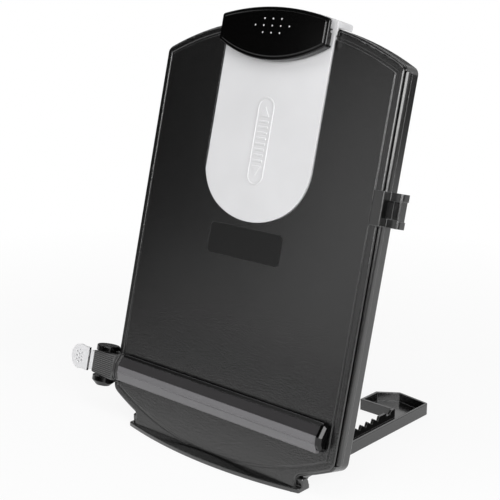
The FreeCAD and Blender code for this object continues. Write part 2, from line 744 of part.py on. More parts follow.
def make_paper_ledge():
    plate = ledge_plan(0)
    tips = straight_edges(plate, 2, [(-LEDGE_HALF, LEDGE_FRONT_END), (LEDGE_HALF, LEDGE_FRONT_END)])
    plate = plate.makeFillet(LEDGE_TIP_ROUND, tips)
    plate = plate.makeFillet(0.8, edges_on_plane(plate, 2, LEDGE_TOP, lambda c: c.y < LEDGE_FRONT_END))
    inner = TAB_HALF + CHEEK_GAP
    cheek = box(inner, LEDGE_HALF, CHEEK_FRONT, LEDGE_BACK, LEDGE_BOTTOM, CHEEK_HEIGHT)
    cheek = cheek.makeFillet(CHEEK_BACK_ROUND, straight_edges(cheek, 0, [(LEDGE_BACK, CHEEK_HEIGHT)]))
    cheek = cheek.makeFillet(CHEEK_FRONT_ROUND, straight_edges(cheek, 0, [(CHEEK_FRONT, CHEEK_HEIGHT)]))
    cheek = cheek.makeFillet(1.2, edges_on_plane(cheek, 0, LEDGE_HALF, lambda c: c.z > LEDGE_TOP + 1))
    ledge = fuse([plate, cheek, mirror_x(cheek)])
    for x in (-LEDGE_SCREW_X, LEDGE_SCREW_X):
        hole = rod(LEDGE_SCREW_RADIUS + 0.2, (x, LEDGE_SCREW_Y, 0), (x, LEDGE_SCREW_Y, LEDGE_TOP + 1))
        sink = rod(3.0, (x, LEDGE_SCREW_Y, 0), (x, LEDGE_SCREW_Y, LEDGE_BOTTOM + 1.5))
        ledge = ledge.cut(hole).cut(sink)
    ledge = ledge.cut(Part.makeCompound(ledge_pad_blocks(LEDGE_BOTTOM - 1)))
    return ledge.cut(above_ledge(blank(-REAR_MARGIN, RIM_SINK, COVER_BACK)))


def ledge_pad_blocks(low):
    high = LEDGE_BOTTOM + PAD_SINK
    reach = MIDDLE_PAD_LENGTH / 2
    blocks = [box(-reach, reach, MIDDLE_PAD_FRONT, LEDGE_PAD_BACK, low, high)]
    for x in (-LEDGE_PAD_X, LEDGE_PAD_X):
        reach = LEDGE_PAD_LENGTH / 2
        blocks.append(box(x - reach, x + reach, LEDGE_PAD_FRONT, LEDGE_PAD_BACK, low, high))
    return blocks


def make_ledge_pads():
    return Part.makeCompound(ledge_pad_blocks(0))


def ledge_screw_pilots():
    return [
        rod(LEDGE_SCREW_RADIUS, (x, LEDGE_SCREW_Y, LEDGE_TOP - 1), (x, LEDGE_SCREW_Y, LEDGE_SCREW_TOP))
        for x in (-LEDGE_SCREW_X, LEDGE_SCREW_X)
    ]


def make_ledge_screws():
    screws = []
    for x in (-LEDGE_SCREW_X, LEDGE_SCREW_X):
        head = rod(2.7, (x, LEDGE_SCREW_Y, LEDGE_BOTTOM + 0.2), (x, LEDGE_SCREW_Y, LEDGE_BOTTOM + 1.5))
        shaft = rod(
            LEDGE_SCREW_RADIUS, (x, LEDGE_SCREW_Y, LEDGE_BOTTOM + 0.2), (x, LEDGE_SCREW_Y, LEDGE_SCREW_TOP)
        )
        screws.append(head.fuse(shaft).removeSplitter())
    return Part.makeCompound(screws)


# Height extension and its clip
def cap_prism(half, front, back, top_drop=0.0):
    arc = rod(CAP_ARC_RADIUS, (0, front, CAP_TOP - CAP_ARC_RADIUS), (0, back, CAP_TOP - CAP_ARC_RADIUS))
    arc.translate(Vector(0, 0, -top_drop))
    return arc.common(box(-half, half, front, back, CROWN_TOP - 60, CAP_TOP + 1))


def make_extension_tongue():
    head_low = CROWN_TOP - CAP_DROP
    tongue = tongue_outline(0, TONGUE_FRONT, TONGUE_BACK, head_low + 1)
    crown = rod(CROWN_RADIUS + REAR_MARGIN + CAP_GAP, (0, -FAR, CROWN_CENTRE), (0, FAR, CROWN_CENTRE))
    front = cap_prism(CAP_HALF, TONGUE_FRONT, -SLIDE_GAP).common(box(-FAR, FAR, -FAR, FAR, head_low, FAR))
    inside = cap_prism(TONGUE_HALF, -SLIDE_GAP - 0.2, TONGUE_BACK).common(
        box(-FAR, FAR, -FAR, FAR, head_low, FAR)
    )
    cap = cap_prism(CAP_HALF, TONGUE_FRONT, CAP_BACK).cut(crown)
    cap = cap.makeFillet(1.5, straight_edges(cap, 1, [(s * CAP_HALF, cap_corner_z()) for s in (-1, 1)]))
    hollow = box(-CAP_HALF + CAP_WALL, CAP_HALF - CAP_WALL, TONGUE_BACK + 1, CAP_BACK - CAP_WALL, 0, FAR)
    hollow = hollow.common(cap_prism(FAR, 0, CAP_BACK, CAP_WALL))
    body = fuse([tongue, front, inside, cap.cut(hollow)])
    body = body.fuse(tongue_emboss())
    bosses = []
    for x, z in keeper_spots():
        back = POCKET_FLOOR_BACK + KEEPER_GAP
        bosses.append(
            box(
                x - BOSS_HALF_WIDTH,
                x + BOSS_HALF_WIDTH,
                TONGUE_BACK - 0.5,
                back,
                z - BOSS_HALF_LENGTH,
                z + BOSS_HALF_LENGTH,
            )
        )
    body = body.fuse(bosses)
    for x, z in keeper_screw_spots():
        body = body.cut(rod(SCREW_RADIUS, (x, TONGUE_FRONT + 1, z), (x, FAR, z)))
    return leaned(fuse([body.removeSplitter()] + clip_lugs()))


def cap_corner_z():
    return CAP_TOP - CAP_ARC_RADIUS + math.sqrt(CAP_ARC_RADIUS**2 - CAP_HALF**2)


def oval(half_width, length, front, back):
    """A stadium outline standing upright, its top at the embossed panel's top."""
    top = CROWN_TOP - OVAL_TOP_DROP - OVAL_LENGTH / 2 + length / 2
    low = top - length
    ends = [rod(half_width, (0, front, z), (0, back, z)) for z in (low + half_width, top - half_width)]
    middle = box(-half_width, half_width, front, back, low + half_width, top - half_width)
    return fuse([middle] + ends)


def tongue_emboss():
    """Raised marks on the tongue: a long oval line, two arrowheads and finger ribs between them."""
    front = TONGUE_FRONT - PANEL_RAISE
    back = TONGUE_FRONT + 0.3
    outer = oval(OVAL_HALF_WIDTH, OVAL_LENGTH, front, back)
    inner = oval(OVAL_HALF_WIDTH - OVAL_LINE, OVAL_LENGTH - 2 * OVAL_LINE, front - 1, back + 1)
    marks = [outer.cut(inner)]
    middle = CROWN_TOP - OVAL_TOP_DROP - OVAL_LENGTH / 2
    for side in (-1, 1):
        tip = middle + side * (OVAL_LENGTH / 2 - ARROW_INSET)
        heel = tip - side * ARROW_HEIGHT
        outline = [(0, front, tip), (ARROW_HALF_WIDTH, front, heel), (-ARROW_HALF_WIDTH, front, heel)]
        marks.append(prism(outline, (0, back - front, 0)))
    for index in range(RIB_COUNT):
        z = middle + (index - (RIB_COUNT - 1) / 2) * RIB_PITCH
        marks.append(
            box(-RIB_HALF_WIDTH, RIB_HALF_WIDTH, front, back, z - RIB_HEIGHT / 2, z + RIB_HEIGHT / 2)
        )
    return marks


def keeper_screw_spots():
    reach = BOSS_HALF_LENGTH - 3.5
    return [(x, z + side * reach) for x, z in keeper_spots() for side in (-1, 1)]


def make_slide_keepers():
    """Plates behind the pocket floor that hold the extension in its slots."""
    front = POCKET_FLOOR_BACK + KEEPER_GAP
    plates = []
    for x, z in keeper_spots():
        plate = box(
            x - KEEPER_HALF_WIDTH,
            x + KEEPER_HALF_WIDTH,
            front,
            front + KEEPER_THICKNESS,
            z - KEEPER_HALF_LENGTH,
            z + KEEPER_HALF_LENGTH,
        )
        for sx, sz in keeper_screw_spots():
            plate = plate.cut(rod(SCREW_RADIUS + 0.1, (sx, 0, sz), (sx, FAR, sz)))
        plates.append(plate)
    return leaned(Part.makeCompound(plates))


def make_keeper_screws():
    front = POCKET_FLOOR_BACK + KEEPER_GAP + KEEPER_THICKNESS
    screws = []
    for x, z in keeper_screw_spots():
        shaft = rod(SCREW_RADIUS, (x, TONGUE_FRONT + 1.4, z), (x, front, z))
        head = rod(2.2, (x, front, z), (x, front + 1.2, z))
        screws.append(shaft.fuse(head).removeSplitter())
    return leaned(Part.makeCompound(screws))


def clip_lugs():
    """Two lugs on the extension's head that carry the clip's pin."""
    lugs = []
    for side in (-1, 1):
        near, far = sorted((side * CLIP_LUG_X, side * (CLIP_LUG_X + CLIP_LUG_THICKNESS)))
        barrel = rod(CLIP_LUG_RADIUS, (near, CLIP_PIVOT_Y, CLIP_PIVOT_Z), (far, CLIP_PIVOT_Y, CLIP_PIVOT_Z))
        web = box(
            near,
            far,
            CLIP_PIVOT_Y,
            TONGUE_FRONT + 0.3,
            CLIP_PIVOT_Z - CLIP_LUG_RADIUS,
            CLIP_PIVOT_Z + CLIP_LUG_RADIUS,
        )
        bore = rod(CLIP_PIN_RADIUS, (-FAR, CLIP_PIVOT_Y, CLIP_PIVOT_Z), (FAR, CLIP_PIVOT_Y, CLIP_PIVOT_Z))
        lugs.append(barrel.fuse(web).removeSplitter().cut(bore))
    return lugs


def clip_outline(half, front, back, top_drop, bottom_lift):
    """The clip's front outline, arched at its top and bowed at its bottom."""
    bottom = CAP_TOP - CLIP_LENGTH + bottom_lift
    arched = cap_prism(half, front, back, top_drop)
    bow = rod(
        CLIP_BOTTOM_RADIUS, (0, front, bottom + CLIP_BOTTOM_RADIUS), (0, back, bottom + CLIP_BOTTOM_RADIUS)
    )
    return arched.common(bow.fuse(box(-half, half, front, back, bottom + CLIP_BOTTOM_RADIUS / 2, FAR)))


def clip_plate(rim, front, back, corner):
    """A plate of the clip's outline, drawn in by a rim, with its front edge rounded."""
    half = CLIP_HALF - rim
    plate = clip_outline(half, front, back, CLIP_TOP_DROP + rim, rim)
    top = cap_corner_height(half) - CLIP_TOP_DROP - rim
    low = CAP_TOP - CLIP_LENGTH + rim + CLIP_BOTTOM_RADIUS - math.sqrt(CLIP_BOTTOM_RADIUS**2 - half**2)
    spots = [(side * half, z) for side in (-1, 1) for z in (top, low)]
    plate = plate.makeFillet(corner, straight_edges(plate, 1, spots))
    return plate.makeFillet(CLIP_EDGE_ROUND, edges_on_plane(plate, 1, front))


def make_clip_lever():
    jaw_top = CAP_TOP - CLIP_LENGTH + CLIP_JAW_HEIGHT
    pivot_line = CLIP_PIVOT_Z + 2.0
    step = CLIP_FRONT + CLIP_STEP
    shell = clip_plate(0, step, CLIP_JAW_BACK, CLIP_CORNER)
    shell = shell.fuse(clip_plate(CLIP_RIM, CLIP_FRONT, step + 1, CLIP_PANEL_CORNER)).removeSplitter()
    hollow = clip_outline(
        CLIP_HALF - CLIP_WALL, CLIP_FRONT + CLIP_WALL, 5, CLIP_TOP_DROP + CLIP_WALL, CLIP_WALL + 1
    )
    shell = shell.cut(hollow)
    low = box(-FAR, FAR, CLIP_SIDE_BACK, FAR, jaw_top + 10, pivot_line)
    thumb = box(-FAR, FAR, CLIP_FRONT + CLIP_WALL + 0.8, FAR, pivot_line, FAR)
    shell = shell.cut(low).cut(thumb)
    axis = (CLIP_PIVOT_Y, CLIP_PIVOT_Z)
    ears = []
    for side in (-1, 1):
        inner = CLIP_LUG_X + CLIP_LUG_THICKNESS + CLIP_EAR_GAP
        near, far = sorted((side * inner, side * (inner + CLIP_EAR_THICKNESS)))
        barrel = rod(CLIP_LUG_RADIUS, (near, *axis), (far, *axis))
        web = box(
            near, far, CLIP_FRONT + 1, CLIP_PIVOT_Y, CLIP_PIVOT_Z - CLIP_LUG_RADIUS, CLIP_PIVOT_Z + CLIP_LUG_RADIUS
        )
        ears.append(barrel.fuse(web))
    shell = fuse([shell] + ears)
    return leaned(shell.cut(rod(CLIP_PIN_RADIUS + PIN_GAP, (-FAR, *axis), (FAR, *axis))))


def cap_corner_height(half):
    return CAP_TOP - CAP_ARC_RADIUS + math.sqrt(CAP_ARC_RADIUS**2 - half**2)


def make_clip_pad():
    """A rubber strip behind the clip's jaw, which presses on the paper."""
    outline = clip_outline(CLIP_HALF - 6, CLIP_JAW_BACK, CLIP_JAW_BACK + CLIP_PAD_THICKNESS, 0, 0.6)
    keep = clip_outline(CLIP_HALF - 7, CLIP_JAW_BACK - 1, CLIP_JAW_BACK + CLIP_PAD_THICKNESS + 1, 0, CLIP_WALL + 0.8)
    return leaned(outline.cut(keep).common(box(-FAR, FAR, -FAR, FAR, 0, CLIP_PIVOT_Z - 8)))


def make_clip_pin():
    end = CLIP_LUG_X + CLIP_LUG_THICKNESS + CLIP_EAR_GAP + CLIP_EAR_THICKNESS
    pin = rod(CLIP_PIN_RADIUS, (-end, CLIP_PIVOT_Y, CLIP_PIVOT_Z), (end, CLIP_PIVOT_Y, CLIP_PIVOT_Z))
    return leaned(pin)


def make_clip_spring():
    """Two coils round the pin, drawn as plain sleeves, each with a leg on the head and one for the clip."""
    coils = []
    axis = (CLIP_PIVOT_Y, CLIP_PIVOT_Z)
    low = CLIP_PIVOT_Z + CLIP_SPRING_RADIUS - 0.8
    for side in (-1, 1):
        near = side * (CLIP_LUG_X - CLIP_SPRING_GAP)
        far = near - side * CLIP_SPRING_LENGTH
        coil = rod(CLIP_SPRING_RADIUS, (near, *axis), (far, *axis))
        leg = box(*sorted((near, near - side * 0.8)), CLIP_PIVOT_Y, TONGUE_FRONT, low, low + 0.8)
        reach = CLIP_FRONT + CLIP_WALL + CLIP_SPRING_ROOM
        arm = box(*sorted((far, far + side * 0.8)), reach, CLIP_PIVOT_Y, low, low + 0.8)
        bore = rod(CLIP_PIN_RADIUS + 0.1, (-FAR, *axis), (FAR, *axis))
        coils.append(fuse([coil, leg, arm]).cut(bore))
    return leaned(Part.makeCompound(coils))


# Side carriers
def carrier(height_z):
    """A C-shaped slider on the board's right edge, with an open socket in its front."""
    low = height_z - CARRIER_HEIGHT / 2
    high = height_z + CARRIER_HEIGHT / 2
    edge = REAR_HALF + SLIDE_GAP
    outer = edge + CARRIER_WALL
    lip_front = RIM_SINK - SLIDE_GAP - FLANGE_THICKNESS
    flange = box(BOARD_HALF - FLANGE_WIDTH + 0.6, outer, lip_front, RIM_SINK - SLIDE_GAP, low, high)
    wall = box(edge, outer, lip_front, CARRIER_BOX_BACK, low, high)
    wall = wall.fuse(flange).removeSplitter()
    wall = wall.makeFillet(1.1, straight_edges(wall, 2, [(outer, lip_front)]))
    runner = box(
        CHANNEL_WALL_X + SLIDE_GAP, outer, LIP_BACK + SLIDE_GAP, CHANNEL_BACK - SLIDE_GAP, low, high
    )
    right = edge + CARRIER_BOX_WIDTH
    block = box(edge, right, CARRIER_BOX_FRONT, CARRIER_BOX_BACK, low, high)
    block = block.makeFillet(CARRIER_EDGE_ROUND, straight_edges(block, 2, [(right, CARRIER_BOX_FRONT)]))
    grip = box(
        right - GRIP_SINK,
        right + 1,
        CARRIER_BOX_FRONT - 1,
        CARRIER_BOX_BACK + 1,
        height_z - GRIP_HEIGHT / 2,
        height_z + GRIP_HEIGHT / 2,
    )
    body = fuse([wall, runner, block.cut(grip)])
    start = edge + SOCKET_WALL
    socket = box(
        start,
        start + SOCKET_WIDTH,
        CARRIER_BOX_FRONT - 1,
        CARRIER_BOX_FRONT + SOCKET_DEPTH,
        height_z - SOCKET_HEIGHT / 2,
        height_z + SOCKET_HEIGHT / 2,
    )
    return body.cut(socket).cut(brake_block(height_z, 0.1))


def brake_block(height_z, grow):
    """The felt brake let into the runner, which rubs on the channel."""
    return box(
        CHANNEL_WALL_X + 1.4,
        CHANNEL_WALL_X + 1.4 + BRAKE_WIDTH,
        CHANNEL_BACK - SLIDE_GAP - BRAKE_THICKNESS,
        CHANNEL_BACK - 0.1 + grow,
        height_z - BRAKE_HEIGHT / 2 - grow,
        height_z + BRAKE_HEIGHT / 2 + grow,
    )


def make_right_carrier():
    return leaned(carrier(RIGHT_CARRIER_Z))


def make_left_carrier():
    return leaned(mirror_x(carrier(LEFT_CARRIER_Z)))


def make_right_brake():
    return leaned(brake_block(RIGHT_CARRIER_Z, 0))


def make_left_brake():
    return leaned(mirror_x(brake_block(LEFT_CARRIER_Z, 0)))


# Line guide
def guide_levels():
    half = BLOCK_HEIGHT / 2 + BLOCK_GAP
    return LEFT_CARRIER_Z - half, LEFT_CARRIER_Z + half


def make_guide_yoke():
    """Two round knuckles joined by a web at the back, plugged into the left carrier's socket."""
    low, high = guide_levels()
    x, y = GUIDE_PIN_X, KNUCKLE_Y
    top = rod(KNUCKLE_RADIUS, (x, y, high), (x, y, high + EAR_HEIGHT))
    top = top.makeFillet(EAR_ROUND, edges_on_plane(top, 2, high + EAR_HEIGHT))
    bottom = rod(KNUCKLE_RADIUS, (x, y, low - LOW_EAR_HEIGHT), (x, y, low))
    bottom = bottom.makeChamfer(EAR_CHAMFER, edges_on_plane(bottom, 2, low - LOW_EAR_HEIGHT))
    edge = -(REAR_HALF + SLIDE_GAP + CARRIER_WALL + 0.3)
    web_back = CARRIER_BOX_FRONT
    foot = low - LOW_EAR_HEIGHT + EAR_CHAMFER
    web = box(x - 8.0, edge, web_back - 2.4, web_back, foot, high + EAR_HEIGHT - 1)
    arms = [
        box(x - 8.0, edge, y, web_back, high, high + EAR_HEIGHT - 1),
        box(x - 8.0, edge, y, web_back, foot, low),
    ]
    start = REAR_HALF + SLIDE_GAP + SOCKET_WALL + TENON_GAP
    tenon = box(
        -(start + SOCKET_WIDTH - 2 * TENON_GAP),
        -start,
        web_back - 0.5,
        web_back + SOCKET_DEPTH - 0.3,
        LEFT_CARRIER_Z - SOCKET_HEIGHT / 2 + TENON_GAP,
        LEFT_CARRIER_Z + SOCKET_HEIGHT / 2 - TENON_GAP,
    )
    inside_board = box(edge, FAR, -FAR, FAR, -FAR, FAR)
    behind_web = box(-FAR, FAR, web_back, FAR, -FAR, FAR)
    yoke = fuse([fuse([top, bottom, web] + arms).cut(behind_web), tenon]).cut(inside_board)
    return leaned(yoke.cut(rod(GUIDE_PIN_RADIUS, (x, y, low - FAR), (x, y, high + FAR))))


def make_guide_pin():
    low, high = guide_levels()
    x, y = GUIDE_PIN_X, KNUCKLE_Y
    pin = rod(GUIDE_PIN_RADIUS, (x, y, low - LOW_EAR_HEIGHT + 1), (x, y, high + EAR_HEIGHT - 0.4))
    return leaned(pin)


def make_guide_spring():
    """A coil round the pin, drawn as a plain sleeve inside the block."""
    x, y = GUIDE_PIN_X, KNUCKLE_Y
    z = LEFT_CARRIER_Z - GUIDE_SPRING_HEIGHT / 2
    coil = rod(GUIDE_SPRING_RADIUS, (x, y, z), (x, y, z + GUIDE_SPRING_HEIGHT))
    return leaned(coil.cut(rod(GUIDE_PIN_RADIUS + 0.1, (x, y, z - 1), (x, y, z + GUIDE_SPRING_HEIGHT + 1))))


def make_guide_block():
    """The ribbed block that turns on the pin and holds the bar and the paddle."""
    half = BLOCK_HEIGHT / 2
    z = LEFT_CARRIER_Z
    left = -(BOARD_HALF + BLOCK_OUT)
    right = -(BOARD_HALF - BLOCK_IN)
    outline = [
        (left, BLOCK_FRONT, z - half + BLOCK_TAPER),
        (right, BLOCK_FRONT, z - half),
        (right, BLOCK_FRONT, z + half),
        (left, BLOCK_FRONT, z + half - BLOCK_TAPER),
    ]
    block = prism(outline, (0, BLOCK_BACK - BLOCK_FRONT, 0))
    for index in range(BLOCK_RIBS):
        level = z + (index - (BLOCK_RIBS - 1) / 2) * BLOCK_HEIGHT / (BLOCK_RIBS + 1)
        groove = box(left - 1, right - 1.0, BLOCK_FRONT - 1, BLOCK_FRONT + BLOCK_RIB_DEPTH, level - 0.35, level + 0.35)
        block = block.cut(groove)
    x, y = GUIDE_PIN_X, KNUCKLE_Y
    barrel = rod(BARREL_RADIUS, (x, y, z - half), (x, y, z + half))
    block = fuse([block, barrel])
    block = block.cut(rod(GUIDE_PIN_RADIUS + PIN_GAP, (x, y, z - FAR), (x, y, z + FAR)))
    room = GUIDE_SPRING_HEIGHT / 2 + 0.2
    return leaned(block.cut(rod(GUIDE_SPRING_RADIUS + 0.2, (x, y, z - room), (x, y, z + room))))


def paddle_holes():
    """Columns of small holes across the paddle's rounded end."""
    spots = []
    for column, count in enumerate(HOLE_COLUMNS):
        across = (column - (len(HOLE_COLUMNS) - 1) / 2) * HOLE_COLUMN_PITCH
        spots += [(across, (index - (count - 1) / 2) * HOLE_PITCH) for index in range(count)]
    return spots


def make_thumb_paddle():
    """A flat tab with a round end, which is pressed back to swing the guide off the page."""
    z = LEFT_CARRIER_Z
    neck_right = -(BOARD_HALF + BLOCK_OUT)
    right = neck_right - PADDLE_NECK
    left = right - PADDLE_LENGTH
    front, back = PADDLE_FRONT, PADDLE_FRONT + PADDLE_THICKNESS
    radius = PADDLE_HEIGHT / 2
    disc = rod(radius, (left + radius, front, z), (left + radius, back, z))
    plate = box(left + radius, right, front, back, z - radius + 0.6, z + radius - 0.6)
    strip = box(right + PADDLE_GROOVE, neck_right, front + 0.3, back + 1.4, z - 8.4, z + 8.4)
    link = box(right - 1, neck_right, front + 1.0, back + 0.6, z - 7.6, z + 7.6)
    paddle = fuse([disc, plate, strip, link])
    for dx, dz in paddle_holes():
        x = left + radius + dx - 0.8
        paddle = paddle.cut(rod(PADDLE_HOLE_RADIUS, (x, front - 1, z + dz), (x, back + 1, z + dz)))
    return leaned(paddle)


def bar_profile():
    """The bar's section in the board frame: a fin, a sloped back for the strip, and a ridged face."""
    return [
        (BAR_BACK, 13.2),
        (BAR_BACK - 1.3, 13.2),
        (BAR_BACK - 1.7, 10.6),
        (BAR_BACK - 2.6, 10.2),
        (BAR_BACK - 5.4, 3.4),
        (BAR_BACK - 6.2, 3.2),
        (BAR_BACK - 6.4, -1.6),
        (BAR_BACK - 7.1, -2.3),
        (BAR_BACK - 6.4, -3.0),
        (BAR_BACK - 4.4, BAR_BOTTOM + 0.6),
        (BAR_BACK - 3.4, BAR_BOTTOM),
        (BAR_BACK, BAR_BOTTOM),
    ]


def bar_span():
    start = -(BOARD_HALF - BLOCK_IN) + 2 * COLLAR_RING + COLLAR_WAIST
    end = FIELD_HALF - BAR_END_GAP
    return start, end


def make_guide_bar():
    start, end = bar_span()
    z = LEFT_CARRIER_Z
    points = [(start, y, z + h) for y, h in bar_profile()]
    return leaned(prism(points, (end - start, 0, 0)))


def make_guide_strip():
    """The dark strip laid on the sloped upper face of the bar."""
    start, end = bar_span()
    z = LEFT_CARRIER_Z
    high = (BAR_BACK - 2.6, 10.2)
    low = (BAR_BACK - 5.4, 3.4)
    length = math.dist(high, low)
    out = ((low[1] - high[1]) / length, -(low[0] - high[0]) / length)
    points = [
        (start, high[0], z + high[1]),
        (start, low[0], z + low[1]),
        (start, low[0] + out[0] * STRIP_THICKNESS, z + low[1] + out[1] * STRIP_THICKNESS),
        (start, high[0] + out[0] * STRIP_THICKNESS, z + high[1] + out[1] * STRIP_THICKNESS),
    ]
    return leaned(prism(points, (end - start, 0, 0)))


def make_guide_collar():
    """A waisted collar between the block and the bar."""
    start = -(BOARD_HALF - BLOCK_IN)
    z = LEFT_CARRIER_Z
    rings = []
    for x in (start, start + COLLAR_RING + COLLAR_WAIST):
        ring = prism([(x, y, z + h) for y, h in collar_profile(0)], (COLLAR_RING, 0, 0))
        ends = edges_on_plane(ring, 0, x) + edges_on_plane(ring, 0, x + COLLAR_RING)
        rings.append(ring.makeFillet(COLLAR_ROUND, ends))
    x = start + COLLAR_RING - COLLAR_ROUND
    waist = prism([(x, y, z + h) for y, h in collar_profile(1.1)], (COLLAR_WAIST + 2 * COLLAR_ROUND, 0, 0))
    return leaned(fuse(rings + [waist]))


def collar_profile(inset):
    """The collar's section in the board frame, which follows the bar's."""
    back = BAR_BACK
    return [
        (back, 12.6 - inset),
        (back - 2.6 + inset, 12.2 - inset),
        (back - 6.6 + inset, 4.8),
        (back - 7.0 + inset, -3.0),
        (back - 5.0 + inset, BAR_BOTTOM + 1.0 + inset),
        (back - 3.4 + inset, BAR_BOTTOM + inset),
        (back, BAR_BOTTOM + inset),
    ]


def make_guide_end_cap():
    """A cap over the bar's free end, a little larger than the bar."""
    end = bar_span()[1]
    z = LEFT_CARRIER_Z
    outline = [
        (end, BAR_BACK, z + 12.4),
        (end, BAR_BACK - 3.0, z + 12.0),
        (end, BAR_BACK - 7.4, z + 3.0),
        (end, BAR_BACK - 7.0, z - 3.0),
        (end, BAR_BACK - 4.0, z - END_CAP_DROP),
        (end, BAR_BACK, z - END_CAP_DROP),
    ]
    cap = prism(outline, (END_CAP_LENGTH, 0, 0))
    outer = [e for e in edges_on_plane(cap, 0, end + END_CAP_LENGTH) if e.CenterOfMass.y < BAR_BACK - 0.5]
    return leaned(cap.makeChamfer(END_CAP_CHAMFER, outer))


def make_all():
    return {
        "front_panel": make_front_panel(),
        "badge_plate": make_badge_plate(),
        "left_rail": make_left_rail(),
        "right_rail": make_right_rail(),
        "crown_rail": make_crown_rail(),
        "foot_rail": make_foot_rail(),
        "rear_cover": make_rear_cover(),
        "cover_screws": make_cover_screws(),
        "hinge_brackets": make_hinge_brackets(),
        "prop_brackets": make_prop_brackets(),
        "paper_ledge": make_paper_ledge(),
        "ledge_screws": make_ledge_screws(),
        "ledge_pads": make_ledge_pads(),
        "base_frame": make_base_frame(),
        "base_pads": make_base_pads(),
        "base_hinge_pins": make_hinge_pins(),
        "prop": make_prop(),
        "prop_pin": make_prop_pin(),
        "prop_rod": make_prop_rod(),
        "extension_tongue": make_extension_tongue(),
        "slide_keepers": make_slide_keepers(),
        "keeper_screws": make_keeper_screws(),
        "clip_lever": make_clip_lever(),
        "clip_pad": make_clip_pad(),
        "clip_pin": make_clip_pin(),
        "clip_spring": make_clip_spring(),
        "right_carrier": make_right_carrier(),
        "right_brake": make_right_brake(),
        "left_carrier": make_left_carrier(),
        "left_brake": make_left_brake(),
        "guide_yoke": make_guide_yoke(),
        "guide_pin": make_guide_pin(),
        "guide_spring": make_guide_spring(),
        "guide_block": make_guide_block(),
        "thumb_paddle": make_thumb_paddle(),
        "guide_collar": make_guide_collar(),
        "guide_bar": make_guide_bar(),
        "guide_strip": make_guide_strip(),
        "guide_end_cap": make_guide_end_cap(),
    }


os.makedirs("parts", exist_ok=True)
for node, piece in make_all().items():
    solids = len(piece.Solids)
    print("%-18s solids %d volume %.0f valid %s" % (node, solids, piece.Volume, piece.isValid()))
    export(node, piece)
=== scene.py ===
# %% [markdown]
# # A desk copy holder with a line guide
# The holder is a black moulded board that leans back on a toothed base frame. A sheet stands on
# the ledge at its foot, a spring clip on a silver height extension holds its top, and a bar with a
# thumb paddle slides down the page line by line. The construction is already made and is loaded
# as a fixed frame, so this script only adds what the eye needs: finishes, small decoration, light
# and the camera.

# %% Load the frame
import json
import math

import bmesh
import bpy
from mathutils import Matrix, Vector


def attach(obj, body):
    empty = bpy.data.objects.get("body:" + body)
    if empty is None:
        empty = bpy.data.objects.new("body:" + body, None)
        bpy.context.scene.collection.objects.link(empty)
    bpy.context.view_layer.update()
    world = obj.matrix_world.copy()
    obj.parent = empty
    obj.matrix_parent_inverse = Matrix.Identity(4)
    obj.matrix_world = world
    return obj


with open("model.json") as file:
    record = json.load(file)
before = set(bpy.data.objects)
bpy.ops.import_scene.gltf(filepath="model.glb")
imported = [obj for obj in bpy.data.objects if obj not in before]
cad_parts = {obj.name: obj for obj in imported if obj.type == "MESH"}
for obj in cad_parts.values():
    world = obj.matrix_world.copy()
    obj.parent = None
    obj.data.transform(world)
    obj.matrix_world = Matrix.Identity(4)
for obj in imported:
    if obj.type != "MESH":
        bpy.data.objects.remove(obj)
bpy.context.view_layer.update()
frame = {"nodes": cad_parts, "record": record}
nodes = frame["nodes"]
print("pieces in the frame:", len(nodes))

# %% [markdown]
# The board leans back, and so does everything drawn on it. One matrix takes a point from the
# board's own frame (x across, y into its thickness, z up along its face) to the desk's frame. It
# is a turn about the X axis, because the front face passes through the origin.

# %% The board's own frame
LEAN = math.radians(14.5)
MM = 0.001
board_frame = Matrix.Rotation(-LEAN, 4, "X")


def on_board(x, y, z):
    """A point of the board, given in millimetres in its own frame."""
    return board_frame @ (Vector((x, y, z)) * MM)


UP_THE_BOARD = on_board(0, 0, 1 / MM)
INTO_THE_BOARD = on_board(0, 1 / MM, 0)
print("direction up the board:", UP_THE_BOARD)

# %% [markdown]
# The photograph was taken from the right and a little above. A camera that looks at the middle of
# the board from the same side gives the same outline, if its distance is right too: a far camera
# with a long lens makes the board's sides almost parallel, a near one makes them close in.

# %% Camera
CAMERA_AZIMUTH = math.radians(42.06)
CAMERA_ELEVATION = math.radians(14.87)
CAMERA_DISTANCE = 0.81975
CAMERA_TARGET = Vector((0.0456, 0.0, 0.17998))
SENSOR = 36.0
FOCAL_PIXELS = 1122.99
PICTURE_WIDTH = 500
NEAREST, FURTHEST = 0.01, 20


def direction_of(azimuth, elevation):
    """The unit direction at an azimuth to the right of the reader and an elevation, in radians."""
    flat = math.cos(elevation)
    return Vector((math.sin(azimuth) * flat, -math.cos(azimuth) * flat, math.sin(elevation)))


towards_camera = direction_of(CAMERA_AZIMUTH, CAMERA_ELEVATION)
camera_data = bpy.data.cameras.new("camera")
camera_data.sensor_width = SENSOR
camera_data.lens = SENSOR * FOCAL_PIXELS / PICTURE_WIDTH
camera_data.clip_start = NEAREST
camera_data.clip_end = FURTHEST
camera = bpy.data.objects.new("camera", camera_data)
bpy.context.scene.collection.objects.link(camera)
camera.location = CAMERA_TARGET + towards_camera * CAMERA_DISTANCE
camera.rotation_euler = towards_camera.to_track_quat("Z", "Y").to_euler()
bpy.context.scene.camera = camera
bpy.context.scene.view_settings.view_transform = "Standard"
print("lens:", round(camera_data.lens, 2), "mm")

# %% [markdown]
# A material is a small program of nodes. Written node by node it is long and hard to read, so one
# small class wraps a node's output and lets Python's own arithmetic build the Math nodes:
# `1 - mask * 0.3` is three numbers and two nodes. Every other node comes from its one method.


